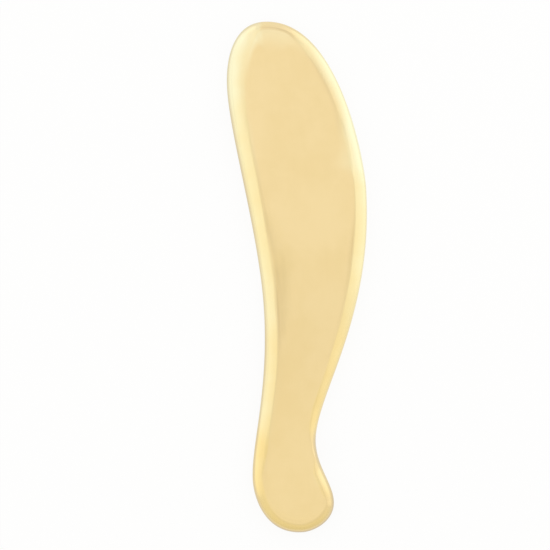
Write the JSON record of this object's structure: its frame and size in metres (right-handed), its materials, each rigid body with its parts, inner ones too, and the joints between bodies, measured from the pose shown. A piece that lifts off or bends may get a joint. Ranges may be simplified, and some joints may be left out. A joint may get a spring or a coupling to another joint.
{
  "type": "gua sha tool",
  "caption": "Solid brass gua sha scraper: a long curved blade with a sloping polished flank, a shallow finger hollow in its back and a small hooked tail.",
  "frame": {"origin": "on the back face, halfway along the plate's length and halfway across its width", "axes": "+Z out of the front face, +Y from the hooked tail to the head, +X towards the bulging belly edge"},
  "size_m": [0.0362, 0.14, 0.005],
  "materials": {
    "brass": "hand polished, softly reflecting, with fine hairlines"
  },
  "bodies": {
    "root": {"gua_sha_plate": "brass"}
  },
  "joints": []
}
